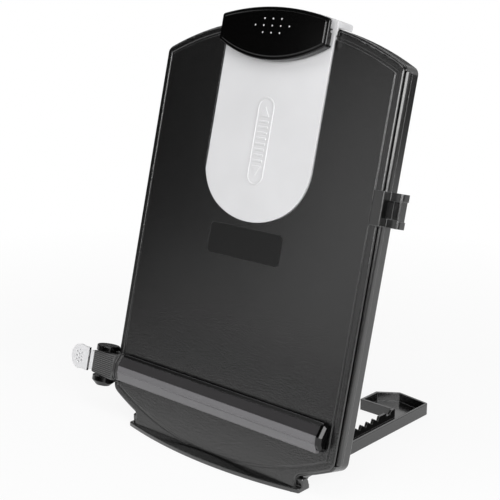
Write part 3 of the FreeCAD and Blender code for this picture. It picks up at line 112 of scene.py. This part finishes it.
# %% A wrapper for shader sockets
class Wire:
    """An output socket of a material's nodes, with arithmetic."""

    def __init__(self, tree, socket=None):
        self.tree = tree
        self.socket = socket

    def node(self, kind, settings=None, inputs=None, output=0):
        """Adds a node. Settings are set first, then each input gets its value or its link."""
        made = self.tree.nodes.new("ShaderNode" + kind)
        for name, value in (settings or {}).items():
            setattr(made, name, value)
        for key, value in (inputs or {}).items():
            if isinstance(value, Wire):
                self.tree.links.new(value.socket, made.inputs[key])
            else:
                made.inputs[key].default_value = value
        return Wire(self.tree, made.outputs[output])

    def math(self, operation, *values):
        """A Math node on the given values. The operators below all go through it."""
        return self.node("Math", {"operation": operation}, dict(enumerate(values)))

    def __add__(self, other):
        return self.math("ADD", self, other)

    def __sub__(self, other):
        return self.math("SUBTRACT", self, other)

    def __rsub__(self, other):
        return self.math("SUBTRACT", other, self)

    def __mul__(self, other):
        return self.math("MULTIPLY", self, other)

    def __gt__(self, other):
        return self.math("GREATER_THAN", self, other)

    def __lt__(self, other):
        return self.math("LESS_THAN", self, other)

    __radd__ = __add__
    __rmul__ = __mul__


# %% [markdown]
# Every finish here is black, grey or silver, so a colour is one shade with at most a slight tint.
# The variation on it comes from noise on Object coordinates, which are the piece's own metres, so
# a grain can be given its real size and stays on the piece when a joint moves it.


# %% Helpers for colour and noise
def start(name):
    """A new empty material, and the Object coordinates on it in metres."""
    material = bpy.data.materials.new(name)
    material.use_nodes = True
    material.node_tree.nodes.clear()
    return material, Wire(material.node_tree).node("TexCoord", output=3)


def grey(shade, tint=(1, 1, 1)):
    """A colour of the given shade, with a slight tint."""
    return (shade * tint[0], shade * tint[1], shade * tint[2], 1)


def mix_colour(wire, amount, first, second):
    """The first colour where the amount is 0, the second where it is 1."""
    return wire.node("Mix", {"data_type": "RGBA"}, {0: amount, 6: first, 7: second}, output=2)


def noise(place, size, detail=2.0, roughness=0.5):
    """Smooth noise from 0 to 1 whose lumps are about the given size in metres."""
    inputs = {"Vector": place, "Scale": 1 / size, "Detail": detail, "Roughness": roughness}
    return place.node("TexNoise", {}, inputs)


def ramp(value, low, high, at_low, at_high):
    """Maps low..high to at_low..at_high, and holds both ends."""
    return value.node("MapRange", {}, {0: value, 1: low, 2: high, 3: at_low, 4: at_high})


def coordinate(place, axis):
    """One coordinate of a place: 0 is x, 1 is y, 2 is z."""
    return place.node("SeparateXYZ", {}, {0: place}, output=axis)


def reach(first, second):
    """How far the first vector reaches along the second."""
    return first.node("VectorMath", {"operation": "DOT_PRODUCT"}, {0: first, 1: second}, output=1)


# %% [markdown]
# Nothing moulded has a sharp edge. Each is slightly rounded, and that draws the thin highlights
# that show a black object's shape. A bevel in the mesh would do it, but the construction's meshes
# are fixed, so a Bevel node turns the normal near an edge instead. Where that rounded normal leaves
# the face's own normal, the colour is made paler too: partly where hands rub the plastic pale, and
# partly a painted highlight that makes the edge lines brighter than the lamps draw them.

# %% Rounded edges, worn paler and painted with highlights
BEVEL_SAMPLES = 6


def round_edges(place, radius):
    """The surface's normal, softened within the given distance of an edge."""
    return place.node("Bevel", {"samples": BEVEL_SAMPLES}, {"Radius": radius})


def worn_and_highlit_edges(place, rounded, amount):
    """0 on a face, rising at its edges, where the rounded normal leaves the face's own."""
    flat = place.node("NewGeometry", output=1)
    turned = (1 - reach(rounded, flat)) * amount
    return turned.math("MINIMUM", turned, 1.0)


# %% [markdown]
# Moulded plastic is never one flat colour. Its surface has a fine grain from the mould, and its
# gloss and shade drift a little over a few centimetres. Two noises give both: the fine one is the
# bump and the board's speckle, the broad one moves the shade, and the two together the roughness.
# A coat and a specular level are the same all over, so they are set on the shader's own sockets.

# %% Moulded plastic
BROAD_LUMP = 0.045
GRAIN_DETAIL, GRAIN_ROUGHNESS = 3.0, 0.6
BROAD_SHARE, FINE_SHARE = 0.6, 0.4
DRIFT = 0.08
SPECKS_FROM, SPECKS_TO = 0.36, 0.64
WORN_HIGHLIT_FACTOR, WORN_HIGHLIT_LIFT, PALEST = 3, 0.1, 1


def surface(place, grain, depth, edge):
    """Both noises, the rounded normal, and that normal with the grain's bump on it."""
    rounded = round_edges(place, edge)
    fine = noise(place, grain, GRAIN_DETAIL, GRAIN_ROUGHNESS)
    broad = noise(place, BROAD_LUMP)
    inputs = {"Strength": 1.0, "Distance": depth, "Height": fine, "Normal": rounded}
    return fine, broad, rounded, place.node("Bump", {}, inputs)


def drifting(place, broad, shade, share, tint):
    """A grey that the broad noise makes darker and lighter by up to the given share."""
    darker, lighter = grey(shade * (1 - share), tint), grey(shade * (1 + share), tint)
    return mix_colour(place, broad, darker, lighter)


def gloss_between(fine, broad, low, high):
    """Roughness that drifts from low to high with the noises."""
    return (broad * BROAD_SHARE + fine * FINE_SHARE) * (high - low) + low


def finish(material, base, roughness, normal, **constants):
    """Joins colour, roughness and normal to a Principled shader and to the material's output."""
    tree = material.node_tree
    inputs = {"Base Color": base, "Roughness": roughness, "Normal": normal}
    for name, value in constants.items():
        inputs[name.replace("_", " ").title().replace("Ior", "IOR")] = value
    shader = Wire(tree).node("BsdfPrincipled", {}, inputs)
    output = tree.nodes.new("ShaderNodeOutputMaterial")
    tree.links.new(shader.socket, output.inputs["Surface"])
    return material


def plastic(
    name, shade, gloss, grain, grain_depth, edge, wear_and_highlight=0.0, speckle=0.0, tint=(1, 1, 1), **constants
):
    """Moulded plastic: shade is its grey, gloss its roughness range, grain the mould's texture."""
    material, place = start(name)
    fine, broad, rounded, normal = surface(place, grain, grain_depth, edge)
    colour = drifting(place, broad, shade, DRIFT, tint)
    if speckle:
        grains = ramp(fine, SPECKS_FROM, SPECKS_TO, 0.0, 1.0)
        colour = mix_colour(place, grains, grey(0.0), grey(shade * speckle, tint))
    # Paler edges: partly the plastic worn pale by hands, partly a painted highlight along each
    # edge.
    if wear_and_highlight:
        worn_and_highlit = worn_and_highlit_edges(place, rounded, wear_and_highlight)
        pale = min(shade * WORN_HIGHLIT_FACTOR + WORN_HIGHLIT_LIFT, PALEST)
        colour = mix_colour(place, worn_and_highlit, colour, grey(pale, tint))
    return finish(material, colour, gloss_between(fine, broad, *gloss), normal, **constants)


# %% [markdown]
# The board, its rails and the base are one family of black mouldings. The board's face has the
# coarser leather-like grain, the rails and the base are smoother. Their own colour is nearly
# nothing: what the eye sees on them is what they mirror. So their specular level is 1, twice the
# neutral 0.5, and a thin coat adds a second, sharper reflection. The clip, the hinge and the end
# cap are polished, the bare name plate is duller, and the collar is a paler grey copy of the gloss
# black: a painted sheen that stands in for the highlights on it.

# %% Black mouldings
finishes = {
    "black_shell": plastic(
        "black_shell", 0.002, (0.2, 0.26), 0.0014, 0.00016, 0.0009,
        wear_and_highlight=2.5, speckle=3.0, specular_ior_level=1.0, coat_weight=0.5, coat_roughness=0.18,
    ),
    "dark_shell": plastic(
        "dark_shell", 0.003, (0.2, 0.27), 0.0011, 0.00002, 0.0009,
        wear_and_highlight=4.0, specular_ior_level=1.0, coat_weight=0.3, coat_roughness=0.12,
    ),
    "gloss_black": plastic("gloss_black", 0.0008, (0.1, 0.16), 0.003, 0.000004, 0.0004),
    "blank_plate": plastic("blank_plate", 0.006, (0.3, 0.4), 0.0008, 0.00002, 0.0003),
}
# The collar's paler grey is a painted sheen, standing in for its highlights.
collar_painted_sheen = plastic("collar_painted_sheen", 0.04, (0.2, 0.3), 0.0006, 0.00001, 0.0003)
print("black mouldings:", sorted(finishes), collar_painted_sheen.name)

# %% [markdown]
# The silver pieces are not metal but grey plastic with a satin lacquer, so they are plain plastic
# of a pale, slightly cool shade. The strip in the line guide is a smooth dark inlay.

# %% Silver lacquer and the dark strip
SILVER_TINT = (0.985, 0.985, 1.0)
SILVER_GLOSS = (0.34, 0.42)
finishes["silver_plastic"] = plastic(
    "silver_plastic", 0.62, SILVER_GLOSS, 0.0005, 0.000008, 0.0005, tint=SILVER_TINT
)
finishes["strip_dark"] = plastic(
    "strip_dark", 0.032, (0.22, 0.3), 0.0006, 0.00001, 0.0002, tint=(1, 0.96, 1)
)
print("finishes so far:", len(finishes))

# %% [markdown]
# The small pieces that hardly show have finishes of their own: rubber feet are dull and coarse,
# the brakes are felt, which is duller still, and pins, screws and springs are steel, the only real
# metal here. Felt could be given hairs, but it is hidden inside the carriers, so a dull dark
# plastic stands for it.

# %% Rubber, felt and steel
finishes["foot_rubber"] = plastic("foot_rubber", 0.01, (0.75, 0.9), 0.0012, 0.00008, 0.0004)
finishes["brake_felt"] = plastic("brake_felt", 0.02, (0.9, 1.0), 0.0004, 0.0002, 0.0001)
for steel, shade in (("screw_steel", 0.5), ("pin_steel", 0.56), ("spring_steel", 0.46)):
    finishes[steel] = plastic(steel, shade, (0.25, 0.4), 0.0004, 0.00001, 0.0002, metallic=1.0)
print("finishes so far:", len(finishes))

# %% [markdown]
# Four pieces have more than one colour, and each second colour is painted shade. The bar's upper
# fin is painted black, a painted shade on its top band, the extension has a painted black margin
# along its left edge, the shadow in the gap beside it, the paddle has a painted black line across
# its neck, the shadow in the recess there, and the grooves of the ribbed block are painted darker
# than its ribs, as the shade in them. An image could hold such paint, but a mask is exact at any
# distance: it is a number that is 1 where the second colour belongs and 0 elsewhere, and it comes
# from comparing a coordinate with the line's edge.


# %% Plastic with painted shade
PAINT_GRAIN, PAINT_DEPTH, PAINT_EDGE, PAINT_WEAR_AND_HIGHLIGHT = 0.0005, 0.00001, 0.0005, 2.5
PAINT_DRIFT = 0.06
PAINT_WORN_HIGHLIT_FACTOR, PALEST_PAINT = 1.5, 0.95


def painted(name, shade, gloss, inside, tint=(1, 1, 1), second=0.002):
    """Plastic with painted shade: the second shade where the mask is 1, the given grey elsewhere.
    """
    material, place = start(name)
    fine, broad, rounded, normal = surface(place, PAINT_GRAIN, PAINT_DEPTH, PAINT_EDGE)
    plain = drifting(place, broad, shade, PAINT_DRIFT, tint)
    colour = mix_colour(place, inside(place), plain, grey(second))
    # Paler edges here too: partly worn plastic, partly a painted highlight, such as the light line
    # on the fin's top edge.
    worn_and_highlit = worn_and_highlit_edges(place, rounded, PAINT_WEAR_AND_HIGHLIGHT)
    pale = min(shade * PAINT_WORN_HIGHLIT_FACTOR, PALEST_PAINT)
    colour = mix_colour(place, worn_and_highlit, colour, grey(pale, tint))
    return finish(material, colour, gloss_between(fine, broad, *gloss), normal)


# %% [markdown]
# The places of the lines are metres in the frame's coordinates. The bar and the block stand on the
# leaning board, so what counts on them is how far a point reaches up the board or into it, not its
# height above the desk.


# %% Where the painted shade lies
FIN_EDGE = 0.0562
NECK_SHADOW_LINE = (-0.14765, -0.1456)
GAP_SHADOW_EDGE = -0.0532
RIB_MIDDLE, RIB_PITCH = 0.0459, 0.0216 / 13
GROOVE_HALF = 0.22
GROOVE_DEPTHS = (-0.0085, -0.0079)


def fin_painted_shade(place):
    """1 on the bar's fin, painted black as shade; its height is measured along the leaning board.
    """
    return reach(place, UP_THE_BOARD) > FIN_EDGE


def rib_groove_painted_shade(place):
    """1 in the grooves between the ribs of the block, which run across its front, painted darker as
    shade.
    """
    turns = (reach(place, UP_THE_BOARD) - RIB_MIDDLE) * (1 / RIB_PITCH)
    groove = turns.math("COMPARE", turns.math("FRACT", turns), 0.5, GROOVE_HALF)
    inwards = reach(place, INTO_THE_BOARD)
    return groove * (inwards > GROOVE_DEPTHS[0]) * (inwards < GROOVE_DEPTHS[1])


def gap_painted_shadow(place):
    """1 on the painted black margin along the extension's left edge: a painted shadow of the gap
    there.
    """
    return coordinate(place, 0) < GAP_SHADOW_EDGE


def neck_painted_shadow(place):
    """1 on the narrow black line between the paddle and the ribbed block: a painted shadow in the
    recessed neck.
    """
    across = coordinate(place, 0)
    return (across > NECK_SHADOW_LINE[0]) * (across < NECK_SHADOW_LINE[1])


# %% Pieces with painted shade
# The bar's fin is painted black: a painted shade on its top band.
finishes["bar_grey"] = painted("bar_grey_fin_painted_shade", 0.15, (0.24, 0.3), fin_painted_shade, (1, 0.98, 1.02))
# The block's grooves are painted darker: painted shade in the recesses.
finishes["ribbed_grey"] = painted("ribbed_block_groove_shade", 0.09, (0.35, 0.45), rib_groove_painted_shade, second=0.02)
own_finishes = {
    # The extension's black left margin is a painted shadow of the gap beside it.
    "extension_tongue": painted("silver_gap_painted_shadow", 0.62, SILVER_GLOSS, gap_painted_shadow, SILVER_TINT),
    # The paddle's black neck line is a painted shadow, and its silver is painted paler than the
    # other silver (0.72 against 0.62), lifting it where less light falls.
    "thumb_paddle": painted("paler_silver_neck_shadow", 0.72, SILVER_GLOSS, neck_painted_shadow, SILVER_TINT),
    "guide_collar": collar_painted_sheen,
}
print("pieces with their own finish:", sorted(own_finishes))

# %% [markdown]
# The frame's record names a material slot for each piece. Three pieces have a finish of their
# own, and every other piece takes the one of its slot, so no piece is left without one.

# %% A finish for every piece
slots = {part["node"]: part["material_slot"] for part in frame["record"]["subparts"]}
for name, piece in nodes.items():
    piece.data.materials.clear()
    piece.data.materials.append(own_finishes.get(name) or finishes[slots[name]])
print("pieces with a finish:", len(nodes))

# %% [markdown]
# The clip carries a small pattern of silver dots where a thumb presses it. On the real clip they
# are tiny raised beads. They could be painted on with a mask, but a bead catches the light on its
# own rim, so each is a sphere pressed flat, laid in rows of three, five and three on the clip's
# face. All are one mesh, which rides on the clip.

# %% Silver dots on the clip
DOT_RADIUS, DOT_HEIGHT, DOT_PITCH = 0.7, 0.28, 8.6
DOT_AROUND, DOT_RINGS = 16, 8
DOT_ROWS = ((349.3, 3), (343.9, 5), (338.4, 3))
CLIP_FACE = -10.4
pressed = Matrix.Diagonal((1, DOT_HEIGHT / DOT_RADIUS, 1, 1))
dots = bmesh.new()
for level, count in DOT_ROWS:
    for index in range(count):
        across = (index - (count - 1) / 2) * DOT_PITCH
        place = Matrix.Translation(on_board(across, CLIP_FACE, level)) @ board_frame @ pressed
        bmesh.ops.create_uvsphere(
            dots, u_segments=DOT_AROUND, v_segments=DOT_RINGS, radius=DOT_RADIUS * MM, matrix=place
        )
mesh = bpy.data.meshes.new("clip_dots")
dots.to_mesh(mesh)
print("dots:", sum(count for _, count in DOT_ROWS), "faces:", len(mesh.polygons))
dots.free()
mesh.materials.append(finishes["silver_plastic"])
clip_dots = bpy.data.objects.new("clip_dots", mesh)
bpy.context.scene.collection.objects.link(clip_dots)
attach(clip_dots, "clip")

# %% [markdown]
# The floor is one plain pale sheet. It has to be white to the camera, as in a product picture, and
# yet must not flood a black object with light. Light Path tells the nodes which kind of ray is
# asking. The camera sees a strength of 1, with a little of the floor's own shading left in near the
# object, which is its shadow. A reflection sees a floor that glows and fades to the dark studio
# between one and two metres away, which shows on the board's right side and on the outer wall of
# the base. Every other ray meets a plain diffuse floor.

# %% Floor
FLOOR_SIZE = 8.0
sheet = bmesh.new()
bmesh.ops.create_grid(sheet, x_segments=1, y_segments=1, size=FLOOR_SIZE / 2)
mesh = bpy.data.meshes.new("floor")
sheet.to_mesh(mesh)
sheet.free()
floor = bpy.data.objects.new("floor", mesh)
bpy.context.scene.collection.objects.link(floor)
print("floor:", FLOOR_SIZE, "m")

# %% The floor's shading
FLOOR_SHADE, STUDIO_SHADE = 0.85, 0.02
SHADOW_SHARE, SHADOW_FROM, SHADOW_TO = 0.12, 0.35, 0.8
PALE_TO, DARK_FROM = 0.9, 2.0
GLOW_IN_REFLECTION = 0.55
material, place = start("floor")
away = place.node("VectorMath", {"operation": "LENGTH"}, {0: place}, output=1)
shaded = place.node("BsdfDiffuse", {}, {"Color": grey(FLOOR_SHADE)})
white = place.node("Emission", {}, {"Color": grey(1.0), "Strength": 1.0})
dark = place.node("Emission", {}, {"Color": grey(STUDIO_SHADE), "Strength": 1.0})
seen = place.node("LightPath", output=0)
mirrored = place.node("LightPath", output=3)
far = ramp(away, SHADOW_FROM, SHADOW_TO, 0.0, 1.0)
beyond = ramp(away, PALE_TO, DARK_FROM, 0.0, 1.0)
lit = place.node("MixShader", {}, {0: GLOW_IN_REFLECTION, 1: shaded, 2: white})
reflected = place.node("MixShader", {}, {0: beyond, 1: lit, 2: dark})
plain = place.node("MixShader", {}, {0: mirrored, 1: shaded, 2: reflected})
whiteness = seen * (1 - SHADOW_SHARE * (1 - far))
mixed = place.node("MixShader", {}, {0: whiteness, 1: plain, 2: white})
output = material.node_tree.nodes.new("ShaderNodeOutputMaterial")
material.node_tree.links.new(mixed.socket, output.inputs["Surface"])
mesh.materials.append(material)
print("share of the floor's own shading that the camera sees nearby:", SHADOW_SHARE)

# %% [markdown]
# The world is the studio round the object. To the camera it is white. In reflections it is dark in
# front, where only the lamps shine, and has a wall behind. The wall is pale low on the right, which
# draws the outermost line at the board's upper right corner, and pale high on the left, which draws
# the top edges of the base and of the board. Low on the left it is dark, or the board's top edge
# and the hinge would glare. Every other ray meets one plain level. A picture of a studio could do
# this, but the three coordinates of the direction are enough and need no file.

# %% Surroundings
# Each wall: the height of a direction from and to, then the brightness below and above.
RIGHT_WALL = (0.2, 0.5, 0.8, 0.12)
LEFT_WALL = (0.18, 0.4, 0.04, 1.0)
LEFT_TO_RIGHT = (-0.3, 0.4)
FRONT_TO_BACK = (0.0, 0.5)
PLAIN_LEVEL = 0.32
FRONT_LEVEL = 0.012
world = bpy.data.worlds.new("studio")
bpy.context.scene.world = world
world.use_nodes = True
world.node_tree.nodes.clear()
sky = Wire(world.node_tree)
direction = sky.node("TexCoord", output=0)
across, depth, height = (coordinate(direction, axis) for axis in range(3))
right_wall = ramp(height, *RIGHT_WALL)
left_wall = ramp(height, *LEFT_WALL)
wall = ramp(across, *LEFT_TO_RIGHT, left_wall, right_wall)
behind = ramp(depth, *FRONT_TO_BACK, FRONT_LEVEL, wall)
seen = sky.node("LightPath", output=0)
mirrored = sky.node("LightPath", output=3)
strength = seen + (1 - seen) * (mirrored * behind + (1 - mirrored) * PLAIN_LEVEL)
background = sky.node("Background", {}, {"Color": grey(1.0), "Strength": strength})
output = world.node_tree.nodes.new("ShaderNodeOutputWorld")
world.node_tree.links.new(background.socket, output.inputs["Surface"])
print("level of the plain light:", PLAIN_LEVEL)

# %% [markdown]
# A black glossy object is drawn by what it mirrors, so each lamp is there for something it draws.
# The board's face mirrors the front left: a dim tall card there makes it grow lighter towards its
# lower right, and a small card below it lifts its lower left. The side lamp and the key, a wide
# strip, draw the bright lines on the right edges and light the silver pieces, helped by the top
# lamp. The side lamp also draws the spot on the bar's end cap, and the left lamp is mirrored by the
# top of the ledge. To see what a lamp does, set its power to 0 and render again.

# %% Lamps
LAMPS_FACE = Vector((0, 0.03, 0.18))


def softbox(name, azimuth, elevation, distance, size, power):
    """A rectangular area lamp that faces the board: angles in degrees, lengths in metres, watts."""
    away = direction_of(math.radians(azimuth), math.radians(elevation))
    data = bpy.data.lights.new(name, "AREA")
    data.shape = "RECTANGLE"
    data.size, data.size_y = size
    data.energy = power
    lamp = bpy.data.objects.new(name, data)
    bpy.context.scene.collection.objects.link(lamp)
    lamp.location = LAMPS_FACE + away * distance
    lamp.rotation_euler = away.to_track_quat("Z", "Y").to_euler()


softbox("key", 24, 22, 1.7, (1.3, 0.36), 8.8)
softbox("card", -30, 12.5, 1.8, (0.53, 0.78), 1.02)
softbox("low card", -43, 2, 1.8, (0.3, 0.24), 0.09)
softbox("left", -66, 36, 1.7, (0.4, 0.4), 0.9)
softbox("side", 66, 24, 1.5, (1.2, 0.8), 17)
softbox("top", 10, 72, 1.5, (1.0, 0.6), 5)
print("lamps:", [light.name for light in bpy.data.lights])
